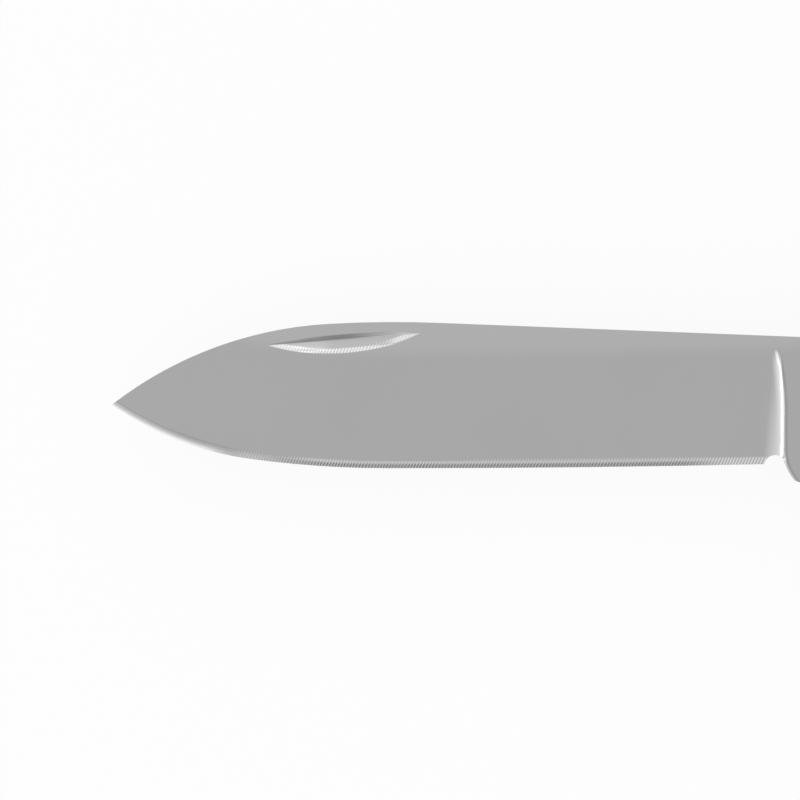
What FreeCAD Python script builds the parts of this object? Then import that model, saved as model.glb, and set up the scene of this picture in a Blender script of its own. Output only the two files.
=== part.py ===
import FreeCAD, Part
import math
import os
import re
import Sketcher

# A single-blade slip-joint pocket knife, blade open, lying on its pile side.
# X runs along the knife from the point (-X) to the butt (+X), Y from the edge to the spine and
# Z through the thickness. The origin is on the pivot axis, in the plane that the knife lies on.
# Lengths are in millimetres, angles in degrees.
# The mark side is the upper one, with the nail nick. The pile side is the lower one.

SIZES = {
    # Blade outline
    "blade_reach": 75.3,  # pivot axis to the point
    "spine_height": 8.19,  # spine above the pivot axis, at the notch
    "spine_fall": 2.23,  # the spine falls towards the handle
    "crest_radius": 109.0,  # spine where it begins to drop
    "crest_from_point": 30.5,  # point to the end of the straight spine
    "drop_from_point": 20.2,  # point to the start of the drop
    "heel_depth": 3.22,  # edge below the pivot axis, at the plunge
    "edge_fall": 1.32,  # the edge falls away from the tang
    "edge_radius": 1525.0,  # edge along the flat of the blade
    "belly_radius": 92.5,  # edge along the belly
    "tip_radius": 30.4,  # edge where it rises to the point
    "belly_from_point": 25.5,  # point to the start of the belly
    "rise_from_point": 12.75,  # point to the start of the rise
    # Blade section
    "tang_thickness": 2.5,
    "grind_height": 10.6,  # edge to the top of the flat grind
    "bevel_height": 0.62,  # edge to the top of the edge bevel
    "bevel_thickness": 0.5,  # blade thickness at the top of the edge bevel
    "edge_thickness": 0.04,
    "plunge_radius": 0.5,  # round rim of the grinding wheel
    "plunge_overcut": 0.012,  # rim of the wheel below the ground face
    "wheel_radius": 150.0,  # centre of the wheel to the middle of its rim
    "wheel_below_pivot": 1.0,  # centre of the wheel below the pivot axis
    "choil_radius": 1.03,  # sharpening notch
    "choil_overlap": 0.2,  # sharpening notch beyond the run-out of the grind
    "choil_rise": 0.82,  # sharpening notch above the edge
    # Nail nick, cut by a profiled wheel
    "nick_from_point": 21.6,
    "nick_below_spine": 1.81,  # deepest line of the nick below the line of the straight spine
    "nick_length": 14.1,
    "nick_depth": 0.5,
    "nick_wall": 0.43,  # deepest line to the top of the steep wall
    "nick_width": 1.3,  # deepest line to the lower rim
    "nick_rim": 0.45,  # sloping rim
    "nick_rise": 0.27,  # floor at the foot of the rim, above the deepest line
    "nick_tilt": 4.5,
    # Tang: the seats for the spring all stand at one distance from the pivot axis
    "seat_distance": 4.9,
    "notch_from_pivot": 3.5,
    "tang_front": 13.0,  # pivot axis to the front of the kick
    "kick_radius": 4.5,  # front of the kick
    "kick_below_pivot": 1.83,  # centre of that round
    "kick_corner": 0.5,
    "tang_radius": 2.0,  # cam corners of the tang
    # Handle outline
    "nose_length": 7.5,  # pivot axis to the front of the handle
    "belly_depth": 6.5,  # handle below the pivot axis
    "butt_height": 8.0,  # handle above the pivot axis, at the butt
    "back_radius": 1800.0,
    "hollow_radius": 2600.0,  # slightly hollow belly of the handle
    "nose_round": 3.4,  # front of the back
    "throat_round": 5.5,  # front of the belly
    "butt_flat": 1.7,  # straight end of the butt, between its rounds
    "edge_round": 1.9,
    "tip_room": 1.6,  # closed point to the lanyard tube
    "butt_land": 0.7,  # lanyard tube to the rounded edge of the butt
    # Handle stack
    "cover_thickness": 3.0,  # bolsters, scales and butt caps
    "liner_thickness": 0.8,
    "blade_play": 0.05,  # each side of the tang
    "spring_play": 0.01,  # each side of the spring
    "bolster_length": 18.5,
    "cap_length": 12.0,
    # Back spring
    "seat_gap": 0.02,  # between the spring's nose and the tang
    "arm_relief": 0.8,  # flexing arm above the seat
    "arm_ramp": 3.0,
    "boss_length": 7.0,  # thick part round the spring pin
    "boss_wall": 0.7,  # below the spring pin
    "rear_height": 2.19,  # underside of the spring's rear above the pivot axis
    "rear_from_point": 15.0,  # closed point to the start of the thick rear
    "rear_ramp": 12.0,
    # Pins and tube
    "pivot_diameter": 3.0,
    "pivot_clearance": 0.03,  # radial, in the blade
    "pivot_recess": 0.05,  # ends of the pivot pin below flush
    "spring_pin_diameter": 1.6,
    "spring_pin_from_pivot": 42.0,
    "spring_pin_below_back": 2.35,
    "butt_pin_from_end": 5.2,
    "butt_pin_below_back": 3.4,
    "scale_pin_diameter": 1.6,
    "scale_pin_inset": 11.0,  # from each end of the scale
    "rivet_diameter": 1.4,
    "rivet_inset": 3.2,  # from the joint between metal and scale
    "rivet_spread": 7.4,
    "tube_diameter": 4.8,
    "tube_bore": 4.0,
    "tube_below_spring": 1.0,
    "pin_fit": 0.015,  # radial, in the handle
}

SLOT = "(tang_thickness + 2 * blade_play)"
HALF_STACK = f"(cover_thickness + liner_thickness + {SLOT} / 2)"
STACK = f"(2 * {HALF_STACK})"
HANDLE_END = "(blade_reach + tip_room + tube_diameter + butt_land + edge_round)"
HANDLE_MIDDLE = "((spine_height - belly_depth) / 2)"
BOLSTER_END = "(bolster_length - nose_length)"
CAP_START = f"({HANDLE_END} - cap_length)"
MARGIN = "cover_thickness"  # blanks stand this far outside the finished handle
PLUNGE = "(tang_front + plunge_radius)"  # pivot axis to the end of the flat grind

doc = FreeCAD.newDocument("pocket_knife")
sheet = doc.addObject("Spreadsheet::Sheet", "Sizes")
for row, (alias, number) in enumerate(SIZES.items(), start=1):
    sheet.set(f"A{row}", alias.replace("_", " "))
    sheet.set(f"B{row}", str(number))
    sheet.setAlias(f"B{row}", alias)
doc.recompute()


def on_sheet(text):
    """The expression for a formula written with the bare names of the sheet's cells."""
    return re.sub(r"[a-z]+(?:_[a-z]+)+", r"Sizes.\g<0>", text)


def value(text):
    """The number that a formula on the sheet comes to."""
    return float(sheet.evalExpression(on_sheet(text)))


def bind(thing, **formulas):
    """Tie an object's properties to the sheet. Two underscores in a name stand for a dot."""
    for path, text in formulas.items():
        thing.setExpression(path.replace("__", "."), on_sheet(text))


def origin_plane(body, role):
    return next(plane for plane in body.Origin.OriginFeatures if plane.Role == role)


def new_body(label):
    body = doc.addObject("PartDesign::Body", label)
    body.Label = label
    return body


def new_sketch(body, name, role="XY_Plane"):
    sketch = body.newObject("Sketcher::SketchObject", name)
    sketch.AttachmentSupport = (origin_plane(body, role), [""])
    sketch.MapMode = "FlatFace"
    return sketch


def constrain(sketch, kind, *where):
    return sketch.addConstraint(Sketcher.Constraint(kind, *where))


def dimension(sketch, kind, *where, to):
    """A constraint whose size is a formula on the sheet."""
    size = value(to)
    if kind == "Angle":
        size = math.radians(size)
    index = constrain(sketch, kind, *where, size)
    sketch.setExpression(f"Constraints[{index}]", on_sheet(to))


def locate(sketch, edge, end, x, y):
    """Dimension one end of an edge from the sketch's origin."""
    dimension(sketch, "DistanceX", -1, 1, edge, end, to=x)
    dimension(sketch, "DistanceY", -1, 1, edge, end, to=y)


def close_polygon(sketch, corners):
    """Draw a closed polygon, each corner given as two formulas, and dimension every corner."""
    points = [FreeCAD.Vector(value(x), value(y)) for x, y in corners]
    edges = [
        sketch.addGeometry(Part.LineSegment(start, end))
        for start, end in zip(points, points[1:] + points[:1])
    ]
    for edge, following in zip(edges, edges[1:] + edges[:1]):
        constrain(sketch, "Coincident", edge, 2, following, 1)
    for edge, (x, y) in zip(edges, corners):
        locate(sketch, edge, 1, x, y)


def draw_circle(sketch, x, y, radius):
    centre = FreeCAD.Vector(value(x), value(y))
    circle = sketch.addGeometry(Part.Circle(centre, FreeCAD.Vector(0, 0, 1), value(radius)))
    locate(sketch, circle, 3, x, y)
    dimension(sketch, "Radius", circle, to=radius)


def add_pad(body, sketch, name, thickness):
    pad = body.newObject("PartDesign::Pad", name)
    pad.Profile = sketch
    pad.Midplane = True
    bind(pad, Length=thickness)
    return pad


def cut_through(body, sketch, name):
    pocket = body.newObject("PartDesign::Pocket", name)
    pocket.Profile = sketch
    pocket.Type = "ThroughAll"
    pocket.Midplane = True
    return pocket


def boolean(kind, name, base, tool):
    result = doc.addObject(f"Part::{kind}", name)
    result.Label = name
    result.Base = base
    result.Tool = tool
    return result


def group(name, members):
    compound = doc.addObject("Part::Compound", name)
    compound.Label = name
    compound.Links = members
    return compound


def rod(name, x, y, diameter, bottom, top):
    """An upright round bar between two heights."""
    bar = doc.addObject("Part::Cylinder", name)
    bind(bar, Radius=f"({diameter}) / 2", Height=f"{top} - ({bottom})")
    bind(bar, Placement__Base__x=x, Placement__Base__y=y, Placement__Base__z=bottom)
    return bar


# Blade. The outline runs along the spine to the point, back along the edge to the plunge, round
# the kick and round the cam of the tang to the notch.


def arc(centre, radius, start, end):
    circle = Part.Circle(FreeCAD.Vector(*centre), FreeCAD.Vector(0, 0, 1), radius)
    return Part.ArcOfCircle(circle, start, end)


def edge_arcs():
    """The three arcs of the cutting edge, from the plunge to the point, each smooth with the next.

    Along an arc of radius r the sine of the slope changes by the length run along X, over r.
    """
    radii = ["edge_radius", "belly_radius", "tip_radius"]
    stops = ["blade_reach - belly_from_point", "blade_reach - rise_from_point", "blade_reach"]
    x, y = -value(PLUNGE), -value("heel_depth")
    slope = math.radians(value("edge_fall"))
    arcs = []
    for radius, stop in zip(map(value, radii), map(value, stops)):
        centre = (x - radius * math.sin(slope), y + radius * math.cos(slope), 0)
        end = math.asin(math.sin(slope) - (stop + x) / radius)
        arcs.append(arc(centre, radius, end - math.pi / 2, slope - math.pi / 2))
        x, y, slope = -stop, centre[1] - radius * math.cos(end), end
    return arcs


def spine_edges(point):
    """The straight spine, the arc of its crest, and the smooth arc from there through the point."""
    rise = math.radians(value("spine_fall"))
    notch = FreeCAD.Vector(-value("notch_from_pivot"), value("spine_height"))
    crest = FreeCAD.Vector(value("crest_from_point - blade_reach"), 0)
    crest.y = notch.y + (notch.x - crest.x) * math.tan(rise)
    radius = value("crest_radius")
    centre = crest - FreeCAD.Vector(math.sin(rise), math.cos(rise)) * radius
    dip = math.asin(math.sin(rise) - value("crest_from_point - drop_from_point") / radius)
    outward = FreeCAD.Vector(math.sin(dip), math.cos(dip))
    drop = centre + outward * radius
    chord = point - drop
    sweep = -chord.dot(chord) / (2 * chord.dot(outward))
    middle = drop - outward * sweep
    arrives = math.atan2(point.y - middle.y, point.x - middle.x)
    return [
        Part.LineSegment(notch, crest),
        arc(centre, radius, math.pi / 2 - rise, math.pi / 2 - dip),
        arc(middle, sweep, math.pi / 2 - dip, arrives),
    ]


def tang_edges(heel):
    """From the plunge along the foot of the tang, round the kick and the cam, to the notch."""
    seat, notch = value("seat_distance"), value("notch_from_pivot")
    kick, corner, cam = value("kick_radius"), value("kick_corner"), value("tang_radius")
    fall = math.radians(value("edge_fall"))
    along = FreeCAD.Vector(math.cos(fall), math.sin(fall))
    middle = FreeCAD.Vector(kick - value("tang_front"), -value("kick_below_pivot"))
    across = middle - heel
    ahead = across.dot(along)
    meet = heel + along * (ahead - math.sqrt(kick**2 - across.dot(across) + ahead**2))
    meets = math.atan2(meet.y - middle.y, meet.x - middle.x) % (2 * math.pi)
    turn = FreeCAD.Vector(middle.x, corner - seat)
    turn.x -= math.sqrt((kick - corner) ** 2 - (middle.y - turn.y) ** 2)
    turns = math.atan2(turn.y - middle.y, turn.x - middle.x) % (2 * math.pi)
    inner = seat - cam
    quarter = math.pi / 2
    return [
        Part.LineSegment(heel, meet),
        arc(middle, kick, meets, turns),
        arc(turn, corner, turns, 3 * quarter),
        Part.LineSegment(FreeCAD.Vector(turn.x, -seat), FreeCAD.Vector(inner, -seat)),
        arc((inner, -inner, 0), cam, 3 * quarter, 4 * quarter),
        Part.LineSegment(FreeCAD.Vector(seat, -inner), FreeCAD.Vector(seat, inner)),
        arc((inner, inner, 0), cam, 0, quarter),
        Part.LineSegment(FreeCAD.Vector(inner, seat), FreeCAD.Vector(-notch, seat)),
        Part.LineSegment(FreeCAD.Vector(-notch, seat), FreeCAD.Vector(-notch, value("spine_height"))),
    ]


def draw_blade_outline(body):
    """The sketch of the outline, and the names of the edges in it that are the cutting edge."""
    sketch = new_sketch(body, "BladeOutline")
    cutting = edge_arcs()
    edges = spine_edges(cutting[-1].StartPoint) + cutting + tang_edges(cutting[0].EndPoint)
    (spine, crest, drop, edge, belly, rise, foot, kick, corner, base, cam, rear, crown, floor, face) = [
        sketch.addGeometry(piece) for piece in edges
    ]
    smooth = [(spine, 2, crest, 1), (crest, 2, drop, 1), (rise, 2, belly, 1), (belly, 2, edge, 1)]
    smooth += [(edge, 2, foot, 1), (kick, 2, corner, 1), (corner, 2, base, 1), (base, 2, cam, 1)]
    smooth += [(cam, 2, rear, 1), (rear, 2, crown, 1), (crown, 2, floor, 1)]
    for joint in smooth:
        constrain(sketch, "Tangent", *joint)
    for joint in [(drop, 2, rise, 1), (foot, 2, kick, 1), (floor, 2, face, 1), (face, 2, spine, 1)]:
        constrain(sketch, "Coincident", *joint)
    for level in (base, floor):
        constrain(sketch, "Horizontal", level)
    for upright in (rear, face):
        constrain(sketch, "Vertical", upright)
    locate(sketch, spine, 1, "-notch_from_pivot", "spine_height")
    dimension(sketch, "Angle", spine, to="180 - spine_fall")
    dimension(sketch, "DistanceX", -1, 1, crest, 1, to="crest_from_point - blade_reach")
    dimension(sketch, "Radius", crest, to="crest_radius")
    dimension(sketch, "DistanceX", -1, 1, crest, 2, to="drop_from_point - blade_reach")
    dimension(sketch, "DistanceX", -1, 1, drop, 2, to="-blade_reach")
    dimension(sketch, "Radius", rise, to="tip_radius")
    dimension(sketch, "DistanceX", -1, 1, rise, 2, to="rise_from_point - blade_reach")
    dimension(sketch, "Radius", belly, to="belly_radius")
    dimension(sketch, "DistanceX", -1, 1, belly, 2, to="belly_from_point - blade_reach")
    dimension(sketch, "Radius", edge, to="edge_radius")
    locate(sketch, edge, 2, f"-{PLUNGE}", "-heel_depth")
    dimension(sketch, "Angle", foot, to="edge_fall")
    dimension(sketch, "Radius", kick, to="kick_radius")
    locate(sketch, kick, 3, "kick_radius - tang_front", "-kick_below_pivot")
    dimension(sketch, "Radius", corner, to="kick_corner")
    dimension(sketch, "DistanceY", -1, 1, base, 2, to="-seat_distance")
    dimension(sketch, "Radius", cam, to="tang_radius")
    dimension(sketch, "Radius", crown, to="tang_radius")
    dimension(sketch, "DistanceX", -1, 1, rear, 1, to="seat_distance")
    dimension(sketch, "DistanceY", -1, 1, floor, 2, to="seat_distance")
    return sketch, [f"Edge{index + 1}" for index in (edge, belly, rise)]


def turn_and_place(thing, axis, angle, **place):
    """Turn an attached object about an axis of its plane and move it, both tied to the sheet."""
    turn = FreeCAD.Rotation(FreeCAD.Vector(*axis), value(f"({angle}) / 1deg"))
    thing.AttachmentOffset = FreeCAD.Placement(FreeCAD.Vector(), turn)
    bind(thing, AttachmentOffset__Rotation__Angle=angle)
    bind(thing, **{f"AttachmentOffset__Base__{name}": text for name, text in place.items()})


def sweep_along_edge(body, outline, cutting_edge, name, corners):
    """Cut a section, given from the cutting edge in height and thickness, all along the edge.

    The section stands square to the edge at the plunge.
    """
    section = new_sketch(body, f"{name}Section", "YZ_Plane")
    turn_and_place(section, (0, 1, 0), "edge_fall * 1deg", x="-heel_depth", z=f"-{PLUNGE}")
    close_polygon(section, corners)
    cut = body.newObject("PartDesign::SubtractivePipe", name)
    cut.Profile = section
    cut.Spine = (outline, cutting_edge)
    cut.Mode = "Binormal"
    cut.Binormal = FreeCAD.Vector(0, 0, 1)
    return cut


def draw_rim(sketch):
    """The rim of the grinding wheel: a half round with upright sides, as high as the blade is thick."""
    middle, round_off, height = value("wheel_radius"), value("plunge_radius"), value("tang_thickness")
    inner, outer = middle - round_off, middle + round_off
    corners = [
        FreeCAD.Vector(x, y) for x, y in [(outer, 0), (outer, height), (inner, height), (inner, 0)]
    ]
    foot = sketch.addGeometry(arc((middle, 0, 0), round_off, math.pi, 2 * math.pi))
    right, top, left = [
        sketch.addGeometry(Part.LineSegment(*ends)) for ends in zip(corners, corners[1:])
    ]
    for joint in [(foot, 2, right, 1), (left, 2, foot, 1)]:
        constrain(sketch, "Tangent", *joint)
    for joint in [(right, 2, top, 1), (top, 2, left, 1)]:
        constrain(sketch, "Coincident", *joint)
    for upright in (right, left):
        constrain(sketch, "Vertical", upright)
    constrain(sketch, "Horizontal", top)
    locate(sketch, foot, 3, "wheel_radius", "0")
    dimension(sketch, "Radius", foot, to="plunge_radius")
    dimension(sketch, "DistanceY", -1, 1, top, 1, to="tang_thickness")


def cut_plunge(body, rise):
    """The run-out of the flat grind: the rim of a wheel that lies along the ground face, turned about
    the wheel's axis. The sketch's origin is the middle of the wheel.
    """
    lean = f"atan({rise})"
    lift = "(plunge_radius - plunge_overcut)"
    above_bevel = "(heel_depth - wheel_below_pivot - bevel_height)"
    section = new_sketch(body, "PlungeSection", "XZ_Plane")
    turn_and_place(
        section,
        (1, 0, 0),
        lean,
        x=f"-{PLUNGE} - wheel_radius",
        y=f"bevel_thickness / 2 + {above_bevel} * {rise} + {lift} * cos({lean})",
        z=f"wheel_below_pivot + {lift} * sin({lean})",
    )
    draw_rim(section)
    plunge = body.newObject("PartDesign::Groove", "Plunge")
    plunge.Profile = section
    plunge.ReferenceAxis = (section, ["V_Axis"])
    plunge.Midplane = True
    bind(plunge, Angle="4 * atan(grind_height / wheel_radius)")
    return plunge


def cut_nick(body):
    """The nail nick: the section of a wheel, with a steep wall, a floor and a sloping rim, turned
    about the wheel's axis. The sketch's origin is the wheel's centre, and the wheel stands as far
    out of the blade as it cuts into it.
    """
    wheel = "(nick_length ^ 2 / (8 * nick_depth) + nick_depth / 2)"
    from_notch = "(blade_reach - nick_from_point - notch_from_pivot)"
    spread = "nick_rim * nick_depth / (nick_depth - nick_rise)"
    section = new_sketch(body, "NickSection", "YZ_Plane")
    turn_and_place(
        section,
        (0, 1, 0),
        "nick_tilt * 1deg",
        x=f"spine_height + {from_notch} * tan(spine_fall) - nick_below_spine",
        y=f"tang_thickness / 2 - nick_depth + {wheel}",
        z="nick_from_point - blade_reach",
    )
    corners = [
        ("0", f"-{wheel}"),
        ("nick_rim - nick_width", f"nick_rise - {wheel}"),
        (f"-nick_width - {spread}", f"2 * nick_depth - {wheel}"),
        ("2 * nick_wall", f"2 * nick_depth - {wheel}"),
    ]
    close_polygon(section, corners)
    nick = body.newObject("PartDesign::Groove", "NailNick")
    nick.Profile = section
    nick.ReferenceAxis = (section, ["H_Axis"])
    nick.Angle = 360
    return nick


def make_blade():
    body = new_body("blade")
    outline, cutting_edge = draw_blade_outline(body)
    add_pad(body, outline, "BladeBlank", "tang_thickness")
    doc.recompute()

    rise = "((tang_thickness - bevel_thickness) / 2 / (grind_height - bevel_height))"
    above = "tang_thickness"
    low = "-choil_radius"
    foot = f"bevel_thickness / 2 + ({low} - bevel_height) * {rise}"
    top = f"bevel_height + ({above} - bevel_thickness / 2) / {rise}"
    corners = [(low, foot), (top, above), (low, above)]
    grind = sweep_along_edge(body, outline, cutting_edge, "FlatGrind", corners)
    plunge = cut_plunge(body, rise)

    steep = "((bevel_thickness - edge_thickness) / 2 / bevel_height)"
    low = "-edge_thickness"
    foot = f"edge_thickness / 2 + {low} * {steep}"
    top = "2 * bevel_height"
    high = f"edge_thickness / 2 + {top} * {steep}"
    corners = [(low, foot), (top, high), (low, high)]
    bevel = sweep_along_edge(body, outline, cutting_edge, "EdgeBevel", corners)
    doc.recompute()

    both = body.newObject("PartDesign::Mirrored", "BothSides")
    both.Originals = [grind, plunge, bevel]
    both.MirrorPlane = (origin_plane(body, "XY_Plane"), [""])
    body.Tip = both
    doc.recompute()

    notch = new_sketch(body, "ChoilCircle")
    behind = "choil_overlap - choil_radius - tang_front"
    draw_circle(notch, behind, "choil_rise - heel_depth - choil_radius", "choil_radius")
    cut_through(body, notch, "Choil")
    cut_nick(body)
    hole = new_sketch(body, "PivotCircle")
    draw_circle(hole, "0", "0", "pivot_diameter / 2 + pivot_clearance")
    cut_through(body, hole, "PivotHole")
    bind(body, Placement__Base__z=HALF_STACK)
    return body


# Handle envelope. The covers, liners, spring and pins are put together and then ground to this
# one shape, so each of them is cut back to it.


NEAR = 0.001  # places closer than this are one place


def edges_over(shape, corner):
    """The names of the upright edges that stand over a corner of an outline."""
    return [
        f"Edge{number}"
        for number, edge in enumerate(shape.Edges, start=1)
        if all(math.dist(vertex.Point[:2], corner[:2]) < NEAR for vertex in edge.Vertexes)
    ]


def level_edges(shape):
    """The names of the edges that lie level, round the top and the bottom of a slab."""
    return [
        f"Edge{number}"
        for number, edge in enumerate(shape.Edges, start=1)
        if edge.BoundBox.ZLength < NEAR
    ]


def add_fillet(body, base, name, edges, radius):
    fillet = body.newObject("PartDesign::Fillet", name)
    fillet.Base = (base, edges)
    bind(fillet, Radius=radius)
    doc.recompute()
    return fillet


def make_envelope():
    body = new_body("handle_envelope")
    sketch = new_sketch(body, "HandleOutline")
    front, end = -value("nose_length"), value(HANDLE_END)
    low, high, butt = -value("belly_depth"), value("spine_height"), value("butt_height")

    def bow(start, end, radius):
        """The shallow arc of a given radius, anticlockwise from one point to the other."""
        middle = (start + end) * 0.5
        half = (end - start) * 0.5
        across = FreeCAD.Vector(-half.y, half.x) / half.Length
        centre = middle + across * math.sqrt(radius**2 - half.Length**2)
        angles = [math.atan2(p.y - centre.y, p.x - centre.x) for p in (start, end)]
        return arc(centre, radius, *angles)

    front_low, front_high = FreeCAD.Vector(front, low), FreeCAD.Vector(front, high)
    butt_low, butt_high = FreeCAD.Vector(end, low), FreeCAD.Vector(end, butt)
    nose = sketch.addGeometry(Part.LineSegment(front_high, front_low))
    belly = sketch.addGeometry(bow(butt_low, front_low, value("hollow_radius")))
    tail = sketch.addGeometry(Part.LineSegment(butt_low, butt_high))
    back = sketch.addGeometry(bow(butt_high, front_high, value("back_radius")))
    for joint in [(nose, 2, belly, 2), (belly, 1, tail, 1), (tail, 2, back, 1), (back, 2, nose, 1)]:
        constrain(sketch, "Coincident", *joint)
    locate(sketch, nose, 1, "-nose_length", "spine_height")
    locate(sketch, nose, 2, "-nose_length", "-belly_depth")
    locate(sketch, tail, 1, HANDLE_END, "-belly_depth")
    locate(sketch, tail, 2, HANDLE_END, "butt_height")
    dimension(sketch, "Radius", belly, to="hollow_radius")
    dimension(sketch, "Radius", back, to="back_radius")
    slab = add_pad(body, sketch, "HandleSlab", STACK)
    doc.recompute()

    rounds = [
        ("NoseRound", "nose_round", [front_high]),
        ("ThroatRound", "throat_round", [front_low]),
        ("ButtRounds", "(belly_depth + butt_height - butt_flat) / 2", [butt_low, butt_high]),
    ]
    for name, radius, corners in rounds:
        upright = [edge for corner in corners for edge in edges_over(slab.Shape, corner)]
        slab = add_fillet(body, slab, name, upright, radius)
    add_fillet(body, slab, "EdgeRounds", level_edges(slab.Shape), "edge_round")
    bind(body, Placement__Base__z=HALF_STACK)
    return body


# Pins, as the place and the diameter of each.

SPRING_PIN = ("spring_pin_from_pivot", "spine_height - spring_pin_below_back", "spring_pin_diameter")
BUTT_PIN = (
    f"{HANDLE_END} - butt_pin_from_end",
    "spine_height - butt_pin_below_back",
    "spring_pin_diameter",
)
PIVOT_PIN = ("0", "0", "pivot_diameter")
LANYARD_TUBE = (
    "blade_reach + tip_room + tube_diameter / 2",
    "rear_height - tube_below_spring - tube_diameter / 2",
    "tube_diameter",
)
SCALE_PINS = [
    (f"{BOLSTER_END} + scale_pin_inset", HANDLE_MIDDLE, "scale_pin_diameter"),
    (f"{CAP_START} - scale_pin_inset", HANDLE_MIDDLE, "scale_pin_diameter"),
]
BOLSTER_PINS = [
    (f"{BOLSTER_END} - rivet_inset", f"{HANDLE_MIDDLE} {side} rivet_spread / 2", "rivet_diameter")
    for side in "+-"
]
BUTT_CAP_PINS = [
    (f"{CAP_START} + rivet_inset", f"{HANDLE_MIDDLE} {side} rivet_spread / 2", "rivet_diameter")
    for side in "+-"
]


def drill(name, piece, pins):
    """Cut the holes for pins right through a piece."""
    drills = [
        rod(f"{name}_drill", x, y, f"{diameter} + 2 * pin_fit", f"-{MARGIN}", f"{STACK} + {MARGIN}")
        for x, y, diameter in pins
    ]
    return boolean("Cut", name, piece, group(f"{name}_drills", drills))


def grind_flush(name, blank, envelope):
    return boolean("Common", name, blank, envelope)


def plate(name, start, end, bottom, thickness):
    """A flat blank between two places along the handle."""
    blank = doc.addObject("Part::Box", name)
    width = f"spine_height + belly_depth + 4 * {MARGIN}"
    bind(blank, Length=f"{end} - ({start})", Width=width, Height=thickness)
    bind(
        blank,
        Placement__Base__x=start,
        Placement__Base__y=f"-belly_depth - 2 * {MARGIN}",
        Placement__Base__z=bottom,
    )
    return blank


def make_cover(name, start, end, bottom, thickness, pins, envelope):
    blank = plate(f"{name}_blank", start, end, bottom, thickness)
    return drill(name, grind_flush(f"{name}_ground", blank, envelope), pins)


def make_pins(name, pins, bottom, top, envelope):
    rods = [rod(f"{name}_rod", x, y, diameter, bottom, top) for x, y, diameter in pins]
    ground = [grind_flush(f"{name}_ground", bar, envelope) for bar in rods]
    return group(name, ground)


def make_side(side, envelope):
    """One side of the handle: its liner, bolster, scale and butt cap, and their rivets."""
    mark = side == "mark_side"
    cover_level = f"{STACK} - cover_thickness" if mark else "0"
    liner_level = f"{STACK} - cover_thickness - liner_thickness" if mark else "cover_thickness"
    pin_bottom = liner_level if mark else "0"
    pin_top = STACK if mark else "cover_thickness + liner_thickness"
    front, rear = f"-nose_length - {MARGIN}", f"{HANDLE_END} + {MARGIN}"
    through = [PIVOT_PIN, SPRING_PIN, BUTT_PIN, LANYARD_TUBE]
    liner_pins = through + SCALE_PINS + BOLSTER_PINS + BUTT_CAP_PINS
    covers = {
        "bolster": (front, BOLSTER_END, BOLSTER_PINS, [PIVOT_PIN]),
        "scale": (BOLSTER_END, CAP_START, SCALE_PINS, [SPRING_PIN]),
        "butt_cap": (CAP_START, rear, BUTT_CAP_PINS, [BUTT_PIN, LANYARD_TUBE]),
    }
    pieces = [
        make_cover(f"{side}_liner", front, rear, liner_level, "liner_thickness", liner_pins, envelope)
    ]
    for cover, (start, end, rivets, others) in covers.items():
        name = f"{side}_{cover}"
        holes = rivets + others
        pieces.append(make_cover(name, start, end, cover_level, "cover_thickness", holes, envelope))
        pieces.append(make_pins(f"{name}_pins", rivets, pin_bottom, pin_top, envelope))
    return pieces


# Back spring. Its nose lies on the floor of the tang's notch, a slimmer arm flexes, and the thick
# part round the spring pin and the deep rear keep clear of the closed blade's edge.


def make_spring(envelope):
    body = new_body("back_spring_blank")
    sketch = new_sketch(body, "SpringOutline")
    seat = "seat_distance + seat_gap"
    arm = "seat_distance + arm_relief"
    pin_x, pin_y, pin_diameter = SPRING_PIN
    boss = f"{pin_y} - {pin_diameter} / 2 - boss_wall"
    nose = "seat_gap - notch_from_pivot"
    above, behind = f"spine_height + {MARGIN}", f"{HANDLE_END} + {MARGIN}"
    corners = [
        (nose, seat),
        ("tang_front", seat),
        ("tang_front + arm_ramp", arm),
        (f"{pin_x} - boss_length / 2 - arm_ramp", arm),
        (f"{pin_x} - boss_length / 2", boss),
        ("blade_reach - rear_from_point", boss),
        ("blade_reach - rear_from_point + rear_ramp", "rear_height"),
        (behind, "rear_height"),
        (behind, above),
        (nose, above),
    ]
    close_polygon(sketch, corners)
    add_pad(body, sketch, "SpringBlank", f"{SLOT} - 2 * spring_play")
    bind(body, Placement__Base__z=HALF_STACK)
    ground = grind_flush("back_spring_ground", body, envelope)
    return drill("back_spring", ground, [SPRING_PIN, BUTT_PIN])


def make_tube(envelope):
    x, y, diameter = LANYARD_TUBE
    outside = rod("tube_outside", x, y, diameter, "0", STACK)
    bore = rod("tube_inside", x, y, "tube_bore", f"-{MARGIN}", f"{STACK} + {MARGIN}")
    return grind_flush("lanyard_tube", boolean("Cut", "tube_blank", outside, bore), envelope)


def make_pivot_pin():
    pin = rod("pivot_pin", *PIVOT_PIN, "pivot_recess", f"{STACK} - pivot_recess")
    pin.Label = "pivot_pin"
    return pin


envelope = make_envelope()
pieces = [make_blade(), make_spring(envelope), make_pivot_pin(), make_tube(envelope)]
pieces.append(make_pins("spring_pin", [SPRING_PIN], "0", STACK, envelope))
pieces.append(make_pins("butt_pin", [BUTT_PIN], "0", STACK, envelope))
for side in ("mark_side", "pile_side"):
    pieces += make_side(side, envelope)
doc.recompute()

for thing in doc.Objects:
    if {"Invalid", "Error"} & set(thing.State):
        raise RuntimeError(f"{thing.Label} failed: {thing.State}")
    base = getattr(thing, "BaseFeature", None)
    if base and thing.TypeId != "PartDesign::Body" and not thing.Shape.Volume < base.Shape.Volume:
        raise RuntimeError(f"{thing.Label} cuts nothing")
for piece in pieces:
    if piece.Shape.isNull() or not piece.Shape.isValid():
        raise RuntimeError(f"{piece.Label} has no valid shape")

os.makedirs("parts", exist_ok=True)
for piece in pieces:
    piece.Shape.exportStep(f"parts/{piece.Label}.step")
    print(piece.Label, len(piece.Shape.Solids), "solids", round(piece.Shape.Volume, 2), "mm3")
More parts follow.
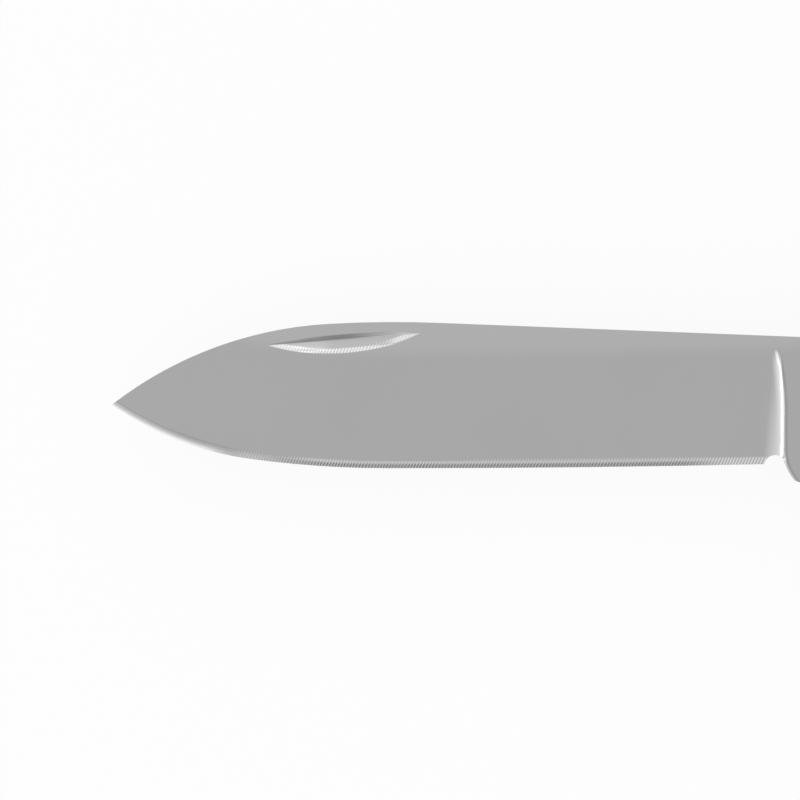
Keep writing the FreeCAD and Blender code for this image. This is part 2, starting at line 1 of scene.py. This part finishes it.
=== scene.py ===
import math
import bpy
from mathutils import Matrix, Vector


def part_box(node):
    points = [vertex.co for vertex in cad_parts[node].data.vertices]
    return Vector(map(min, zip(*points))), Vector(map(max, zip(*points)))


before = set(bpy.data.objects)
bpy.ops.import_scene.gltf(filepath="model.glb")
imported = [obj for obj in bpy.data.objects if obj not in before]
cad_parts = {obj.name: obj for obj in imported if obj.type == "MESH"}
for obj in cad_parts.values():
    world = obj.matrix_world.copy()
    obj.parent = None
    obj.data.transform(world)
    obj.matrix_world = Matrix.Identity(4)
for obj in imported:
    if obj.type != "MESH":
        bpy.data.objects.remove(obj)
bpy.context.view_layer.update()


# Blade. One bar of hardened stainless steel, ground flat to a thin edge and left with a satin face.
# A coarser wheel puts on the edge bevel, and a dished one cuts the nail nick under the spine.
# It turns on the pivot pin, and is the only piece that moves.

millimetres = 1000


class Field:
    """A value over a surface: a socket of a node tree. Arithmetic with it adds Math nodes."""

    def __init__(self, tree, socket=None):
        self.tree = tree
        self.socket = socket

    def plug(self, node, values):
        """Give a node's sockets, by name or number, their links or their constant values."""
        for key, value in values.items():
            named = [socket for socket in node.inputs if socket.enabled and socket.name == key]
            socket = named[0] if named else node.inputs[key]
            if isinstance(value, Field):
                self.tree.links.new(value.socket, socket)
            else:
                socket.default_value = value

    def node(self, kind, settings, values, output=None):
        """Add a node of any type: its settings come first, then its sockets."""
        made = self.tree.nodes.new(kind)
        for name, setting in settings.items():
            setattr(made, name, setting)
        self.plug(made, values)
        outputs = [socket for socket in made.outputs if socket.enabled and output in (None, socket.name)]
        return Field(self.tree, outputs[0])

    def math(self, operation, *values):
        return self.node("ShaderNodeMath", {"operation": operation}, dict(enumerate(values)))

    def __add__(self, other):
        return self.math("ADD", self, other)

    def __sub__(self, other):
        return self.math("SUBTRACT", self, other)

    def __rsub__(self, other):
        return self.math("SUBTRACT", other, self)

    def __mul__(self, other):
        return self.math("MULTIPLY", self, other)

    def __lt__(self, other):
        return self.math("LESS_THAN", self, other)

    def __gt__(self, other):
        return self.math("GREATER_THAN", self, other)

    __radd__ = __add__
    __rmul__ = __mul__

    def wave(self, length):
        """A sine from -1 to 1 of the given wavelength."""
        return self.math("SINE", self * (2 * math.pi / length))

    def step(self, low, high):
        """0 at low and 1 at high, smooth between them and level outside. Low may be the larger one."""
        settings = {"interpolation_type": "SMOOTHSTEP"}
        return self.node("ShaderNodeMapRange", settings, {"Value": self, "From Min": low, "From Max": high})

    def between(self, low, high):
        """The value low where this is 0, and high where it is 1."""
        return low + self * (high - low)

    def colours(self, low, high):
        """The colour low where this is 0, and high where it is 1."""
        ends = {
            name: end if isinstance(end, Field) else (*end, 1.0)
            for name, end in (("A", low), ("B", high))
        }
        return self.node("ShaderNodeMix", {"data_type": "RGBA"}, {"Factor": self, **ends})

    def stretch(self, x, y, z):
        """A place, scaled along each axis."""
        return self.node("ShaderNodeVectorMath", {"operation": "MULTIPLY"}, {0: self, 1: (x, y, z)})

    def squared(self):
        return self * self

    def root(self):
        return self.math("SQRT", self)

    def at_least(self, low):
        return self.math("MAXIMUM", self, low)

    def distance(self, point):
        settings = {"operation": "DISTANCE"}
        return self.node("ShaderNodeVectorMath", settings, {0: self, 1: point}, "Value")

    def axes(self):
        return [self.node("ShaderNodeSeparateXYZ", {}, {"Vector": self}, axis) for axis in "XYZ"]

    def noise(self, scale, detail=2.0):
        """Cloudy noise at a place, mostly from -0.5 to 0.5. Scale is in cells for each millimetre."""
        values = {"Vector": self, "Scale": scale, "Detail": detail}
        return self.node("ShaderNodeTexNoise", {}, values, "Fac") - 0.5

    def bump(self, depth):
        """The normal of a surface whose relief is this value times depth, in millimetres."""
        values = {"Height": self, "Strength": 1.0, "Distance": depth / millimetres}
        return self.node("ShaderNodeBump", {}, values)


def new_finish(name):
    """A material, its shader, and the place on the surface in millimetres."""
    material = bpy.data.materials.new(name)
    material.use_nodes = True
    tree = material.node_tree
    place = Field(tree).node("ShaderNodeTexCoord", {}, {}, "Object")
    place = place.stretch(millimetres, millimetres, millimetres)
    return material, tree.nodes["Principled BSDF"], place


def dress(material, nodes):
    for node in nodes:
        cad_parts[node].material_slots[0].material = material


# Sizes and places on the blade, in millimetres about the pivot axis.
edge_heel = (-13.5, -3.22)
edge_fall = math.radians(1.32)
edge_radii = (1525.0, 92.5, 30.4)
edge_stops = (-49.8, -62.55, -75.3)
bevel_height = 0.62
bevel_end = -13.1
kick_centre = (-8.5, -1.83)
kick_radius = 4.5
grind_top = 7.5
stroke_pitch = 0.283
stroke_slant = 0.45
nick_centre = (-53.7, 8.33)
nick_tilt = math.radians(4.5)
nick_length = 14.1
nick_sag = 1.3
nick_rim = 0.45
nick_wall = 0.43


def edge_arcs():
    """Centre and radius of each arc of the edge: the sine of its slope falls by the run over the radius."""
    (x, y), slope = edge_heel, edge_fall
    for radius, stop in zip(edge_radii, edge_stops):
        centre = (x - radius * math.sin(slope), y + radius * math.cos(slope), 0.0)
        yield centre, radius
        slope = math.asin(math.sin(slope) - (x - stop) / radius)
        x, y = stop, centre[1] - radius * math.cos(slope)


def height_over_edge(flat):
    """Distance from the cutting edge, arc by arc: the radius less the distance to the arc's centre."""
    along = flat.axes()[0]
    heights = [radius - flat.distance(centre) for centre, radius in edge_arcs()]
    height = heights[0]
    for arc, before, start in zip(heights[1:], heights, edge_stops):
        height = height + (along < start) * (arc - before)
    return height


def honed_tone(x, height, strokes):
    """Grey of the edge bevel: pale at its shoulder and darker at the edge along the middle of the blade, as
    painted shade with a painted glint at the very edge, the other way round where the edge begins to rise,
    as painted shade at the shoulder, and polished at the point and painted paler there as a highlight, more
    and more towards the edge. The slanted strokes of the stone fade out towards the point.
    """
    shoulder = height.step(0.27, 0.53)
    apex_glint = height.step(0.14, 0.02)
    heel = x.step(-23.0, -17.5)
    middle = x.step(-62.4, -55.0) * (1 - heel)
    rising = x.step(-67.5, -64.0) * x.step(-55.5, -60.0)
    stroked = x.step(-65.5, -62.0)
    point = x.step(-63.5, -67.0)

    plain = 0.4 + stroked * heel.between(0.085, 0.125)
    # Painted shade below the shoulder along the middle, eased by a painted glint at the very edge; painted
    # shade at the shoulder where the edge rises.
    painted_shade_and_glint = middle * ((1 - shoulder) * 0.19 - apex_glint * 0.05)
    painted_shoulder_shade = rising * shoulder.between(0.07, 0.12)
    depth = (0.065 + x.step(-61.0, -55.0) * 0.05 + heel * 0.04) * (1 - shoulder * middle * 0.35)
    stoned = plain - painted_shade_and_glint - painted_shoulder_shade + strokes * stroked * depth
    # The point is polished, and painted paler still as a highlight towards the edge.
    polished = height.step(0.56, -0.06).between(0.285, 0.645)
    return point.between(stoned, polished)


def nick_painted_light(x, y, strokes):
    """Grey added inside the nail nick, all of it painted light. Its lower lip is an arc with short bright
    strokes, polished and painted paler as a highlight, most of all at both ends. Its floor is painted paler
    down to the lip on the point's side as a reflection, and its wall above is painted paler towards the
    handle.
    """
    across, up = x - nick_centre[0], y - nick_centre[1]
    along = across * math.cos(nick_tilt) + up * math.sin(nick_tilt)
    under = across * math.sin(nick_tilt) - up * math.cos(nick_tilt)
    sweep = (nick_length ** 2 / 4 + nick_sag ** 2) / (2 * nick_sag)
    lip = sweep - nick_rim
    radius = (along.squared() + (under + sweep - nick_sag).squared()).root()
    crown = nick_wall - along.squared() * (4 * nick_wall / nick_length ** 2)

    # Painted light: the floor is painted paler as a reflection, the lip and its ends as a highlight, and
    # the wall paler towards the handle.
    on_floor = under.step(0.0, 0.12) * radius.step(sweep + 0.08, sweep - 0.02)
    on_lip = radius.step(lip - 0.08, lip + 0.08)
    on_wall = (under + crown).step(0.0, 0.05) * under.step(0.05, 0.0)
    pale_side = radius.step(lip + 0.24, lip + 0.11) * along.step(-5.4, -4.0) * along.step(-0.7, -2.5)
    pale = pale_side * radius.step(sweep - 0.65, lip + 0.08).between(0.07, 0.21)
    ends = along.step(-2.0, -5.0) * 0.26 + along.step(3.6, 5.0) * 0.19
    inside = 0.045 + pale + on_lip * (0.05 + ends + strokes * 0.09)
    return on_floor * inside + on_wall * along.step(0.0, 4.0) * 0.25


def behind_front(x, y):
    """Distance behind the front of the tang, which is upright along the plunge, bends towards the point
    at the top of it and goes round the kick below it.
    """
    across = x - kick_centre[0]
    below = (kick_centre[1] - y).at_least(0.0)
    bend = (y - 1.5).at_least(0.0).squared() * 0.02
    return kick_radius - (across.squared() + below.squared()).root() + bend


def plunge_tone(x, y):
    """Grey added at the plunge, mostly painted light. The run-out of the grind is polished, and painted
    paler still as a highlight, more and more towards the tang, over a strip that widens to the edge and
    tapers to its top, and along the flank and crest of the tang's front. A painted reflection pales the
    face low down just before the plunge, and a dark line of painted shade follows the front of the tang and
    the kick.
    """
    behind = behind_front(x, y)
    taper = (y - 5.5).at_least(0.0).squared() * 0.12
    # Painted highlight on the polished run-out: a strip, the flank of the tang's front and its crest are
    # painted paler.
    strip = (x + 14.11 + (6.4 - y) * 0.089 - taper).at_least(0.0) * 0.17
    flank = (behind - taper).step(-0.95, -0.2) * y.step(-2.0, 5.5).between(0.12, 0.26) * y.step(7.7, 6.2)
    crest = behind.step(-0.4, -0.22) * y.step(5.2, 6.6) * y.step(grind_top, 6.9) * 0.28
    polish_and_highlight = (strip + flank + crest) * behind.step(0.0, -0.1) * y.step(grind_top, 7.1)
    # Painted reflection: the face just before the plunge is painted a little paler low down.
    painted_reflection = x.step(-15.4, -14.2) * behind.step(-0.3, -0.8) * y.step(4.5, 0.0) * 0.022
    # Painted shade: a dark line along the front of the tang, and another round the kick.
    painted_shade_line = behind.step(0.0, 0.06) * behind.step(0.3, 0.14) * y.step(8.2, 6.0)
    kick_shade_line = behind.step(0.035, 0.015) * y.step(-2.8, -3.0)
    on_front = x < kick_centre[0] - 0.5
    return on_front * (polish_and_highlight + painted_reflection - (painted_shade_line + kick_shade_line) * 0.075)


def blade_finish():
    """Satin steel: a plain fine grey face, paler by the spine as painted light, and darker in a hair line
    of painted shade over the bevel near the point. The tones of the plunge, the nail nick and the edge
    bevel lie on it, and much of them is painted light and shade.
    """
    material, shader, place = new_finish("blade_steel_satin")
    x, y, z = place.axes()
    height = height_over_edge(place.stretch(1, 1, 0))
    lines = place.stretch(1, 0.02, 0.02).noise(9, detail=4)
    clouds = place.noise(0.12, detail=3)
    strokes = (x - y * stroke_slant + place.noise(0.35) * 0.3).wave(stroke_pitch)
    strokes = strokes * (1 + place.noise(0.45) * 1.6)

    low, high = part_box("blade")
    mark_side = z > (low[2] + high[2]) / 2 * millimetres
    # Painted light: the face is painted paler towards the spine.
    spine_painted_light = height.step(9.9, 11.4)
    # Painted shade: a dark hair line just above the bevel's shoulder near the point.
    shoulder_shade_line = height.step(0.9, 0.72) * height.step(0.6, 0.68) * x.step(-64.6, -66.0) * x.step(-70.0, -68.4)
    face = 0.386 + lines * 0.012 + clouds * 0.016 + spine_painted_light * 0.035 - shoulder_shade_line * 0.03
    face = face + plunge_tone(x, y) + mark_side * nick_painted_light(x, y, strokes)
    fade = 0.16 + x.step(-46.0, -38.0) * x.step(-17.0, -24.0) * 0.12
    bevel = height.step(bevel_height + fade, bevel_height - 0.04) * (x < bevel_end)
    tone = bevel.between(face, honed_tone(x, height, strokes))
    values = {
        "Base Color": tone.colours((0, 0, 0), (1, 1, 1)),
        "Metallic": 1.0,
        "Roughness": 0.3 + lines * 0.06,
        "Normal": bevel.between(lines, strokes * 2).bump(0.0003),
    }
    place.plug(shader, values)
    return material


dress(blade_finish(), ["blade"])


# Liners. Two thin plates of rolled brass, one each side of the blade's slot, that carry the pins.
# Their edges are ground flush with the handle and show as a fine yellow line.

sides = ("mark_side", "pile_side")


def brass_finish(name, colour, tarnish, roughness):
    """Brass with drawn lines along the knife and patches of brown tarnish."""
    material, shader, place = new_finish(name)
    lines = place.stretch(0.04, 1, 1).noise(7, detail=4)
    patches = place.noise(0.35, detail=5)
    worn = (patches + lines * 0.35).step(-0.12, 0.3)
    values = {
        "Base Color": worn.colours(colour, tarnish),
        "Metallic": 1.0,
        "Roughness": roughness + worn * 0.14 + lines * 0.1,
        "Normal": lines.bump(0.002),
    }
    place.plug(shader, values)
    return material


liner_brass = brass_finish(
    "liner_brass_satin", colour=(0.72, 0.53, 0.23), tarnish=(0.46, 0.3, 0.11), roughness=0.3
)
dress(liner_brass, [f"{side}_liner" for side in sides])


# Back spring. A bar of spring steel, hardened and ground, that closes the back of the handle.
# Two pins hold it, and its nose presses on the tang of the blade.


def spring_finish():
    """Grey steel with grinding lines along the back and a faint brown heat stain."""
    material, shader, place = new_finish("spring_steel_ground")
    lines = place.stretch(0.03, 1, 1).noise(9, detail=4)
    stain = place.noise(0.2, detail=3).step(-0.1, 0.35)
    values = {
        "Base Color": stain.colours((0.5, 0.5, 0.49), (0.4, 0.385, 0.37)),
        "Metallic": 1.0,
        "Roughness": 0.28 + lines * 0.2,
        "Normal": lines.bump(0.002),
    }
    place.plug(shader, values)
    return material


dress(spring_finish(), ["back_spring"])


# Bolsters and butt caps. Nickel silver, riveted to the liners and polished with their rivets, so
# that only a hair line shows round each of them. The pivot and butt pins are of the same metal.


def nickel_finish():
    """Polished warm grey metal with fine scratches in two directions."""
    material, shader, place = new_finish("nickel_silver_polished")
    rubbed = place.stretch(0.04, 1, 1).noise(5, detail=5)
    crossed = place.stretch(1, 0.06, 1).noise(4, detail=5)
    handled = place.noise(0.25, detail=3).step(-0.2, 0.25)
    shade = 0.5 + rubbed * 0.8 + crossed * 0.5
    values = {
        "Base Color": shade.colours((0.42, 0.405, 0.37), (0.5, 0.485, 0.45)),
        "Metallic": 1.0,
        "Roughness": 0.2 + handled * 0.08 + rubbed * 0.12,
        "Normal": (rubbed + crossed * 0.6).bump(0.0015),
    }
    place.plug(shader, values)
    return material


metal_covers = [f"{side}_{cover}" for side in sides for cover in ("bolster", "butt_cap")]
cover_pins = [f"{cover}_pins" for cover in metal_covers]
dress(nickel_finish(), metal_covers + cover_pins + ["pivot_pin", "butt_pin"])


# Scales. Two slips of dark oiled hardwood between the metal ends, with the grain along the handle.
# Each is pinned to its liner and then ground to the shape of the handle.

layer_pitch = 2.6
fine_layer_pitch = 0.95


def wood_finish():
    """Dark wood along the handle: growth layers on a slow drift, fine fibres and short open pores."""
    material, shader, place = new_finish("scale_wood_oiled")
    y, z = place.axes()[1:]
    drift = place.stretch(0.035, 0.22, 0.22).noise(1, detail=3)
    layers = y * 0.9 + z * 0.7 + drift * 6.0
    rings = layers.wave(layer_pitch) * 0.3 + layers.wave(fine_layer_pitch) * 0.14
    fibres = place.stretch(0.05, 1, 1).noise(4.0, detail=6)
    figure = (rings + fibres * 1.3 + 0.45).step(0.0, 1.0)
    pores = place.stretch(0.07, 1, 1).noise(6.5, detail=2).step(0.12, 0.2)
    body = figure.colours((0.05, 0.02, 0.011), (0.2, 0.085, 0.04))
    values = {
        "Base Color": pores.colours(body, (0.022, 0.01, 0.007)),
        "Roughness": 0.45 + pores * 0.3 - fibres * 0.1,
        "Specular IOR Level": 0.35,
        "Normal": (fibres * 0.4 - pores).bump(0.03),
    }
    place.plug(shader, values)
    return material


dress(wood_finish(), [f"{side}_scale" for side in sides])


# Pins of the scales and the spring, and the tube of the cord hole. Drawn brass rod and tube,
# headed over and polished flush with the handle.

pin_brass = brass_finish(
    "pin_brass_polished", colour=(0.76, 0.57, 0.26), tarnish=(0.55, 0.37, 0.14), roughness=0.2
)
dress(pin_brass, [f"{side}_scale_pins" for side in sides] + ["spring_pin", "lanyard_tube"])


# Stage. A plain white floor that the knife lies on, two soft boxes at the left and beyond the
# spine, and a camera straight above the blade.

# Sizes and places of the stage, in metres.
floor_half = 3.0
floor_drop = 0.00005
floor_white = 0.93
camera_share = 0.9
dome_strength = 0.76
photo_centre = (-0.04852, 0.00269, 0.0051)
photo_width = 0.074


def sees_background(tree):
    """1 for a ray from the camera, from a mirror or through glass, and 0 for other light."""
    camera, mirror, glass = [
        Field(tree).node("ShaderNodeLightPath", {}, {}, f"Is {ray} Ray")
        for ray in ("Camera", "Glossy", "Transmission")
    ]
    return camera.at_least(mirror).at_least(glass)


def make_floor():
    """A square card just under the knife, which glows white only to the rays that see the background."""
    signs = ((-1, -1), (1, -1), (1, 1), (-1, 1))
    corners = [(x * floor_half, y * floor_half, -floor_drop) for x, y in signs]
    mesh = bpy.data.meshes.new("floor")
    mesh.from_pydata(corners, [], [(0, 1, 2, 3)])
    floor = bpy.data.objects.new("floor", mesh)
    bpy.context.scene.collection.objects.link(floor)
    material = bpy.data.materials.new("floor_white")
    material.use_nodes = True
    tree = material.node_tree
    tree.nodes.remove(tree.nodes["Principled BSDF"])
    base = Field(tree)
    card = base.node("ShaderNodeBsdfDiffuse", {}, {"Color": (floor_white, floor_white, floor_white, 1)})
    glow = base.node("ShaderNodeEmission", {}, {"Strength": 1.0})
    share = sees_background(tree) * camera_share
    seen = base.node("ShaderNodeMixShader", {}, {"Fac": share, 1: card, 2: glow})
    base.plug(tree.nodes["Material Output"], {"Surface": seen})
    mesh.materials.append(material)


def light_dome():
    """White light from all round, of full strength only to the rays that see the background."""
    world = bpy.data.worlds.new("studio")
    world.use_nodes = True
    tree = world.node_tree
    strength = sees_background(tree).between(dome_strength, 1)
    strength.plug(tree.nodes["Background"], {"Color": (1, 1, 1, 1), "Strength": strength})
    bpy.context.scene.world = world


def soft_box(name, place, aim, width, height, power):
    lamp = bpy.data.lights.new(name, "AREA")
    lamp.shape = "RECTANGLE"
    lamp.size, lamp.size_y = width, height
    lamp.energy = power
    box = bpy.data.objects.new(name, lamp)
    box.location = place
    box.rotation_mode = "QUATERNION"
    box.rotation_quaternion = (Vector(aim) - Vector(place)).to_track_quat("-Z", "Y")
    box.visible_camera = False
    bpy.context.scene.collection.objects.link(box)


def make_camera(aim, width, lens, sensor):
    """A camera straight above a point, at the distance where the picture is as wide as asked."""
    camera = bpy.data.objects.new("camera", bpy.data.cameras.new("camera"))
    camera.data.lens = lens
    camera.data.sensor_width = sensor
    camera.location = Vector(aim) + Vector((0, 0, width * lens / sensor))
    bpy.context.scene.collection.objects.link(camera)
    bpy.context.scene.camera = camera


make_floor()
light_dome()
soft_box("left_box", (-0.475, -0.3, 0.295), photo_centre, width=0.8, height=0.5, power=1.2)
soft_box("far_box", (-0.05, 0.53, 0.28), photo_centre, width=0.5, height=0.32, power=0.36)
make_camera(photo_centre, photo_width, lens=200.0, sensor=36.0)
bpy.context.scene.view_settings.view_transform = "Standard"
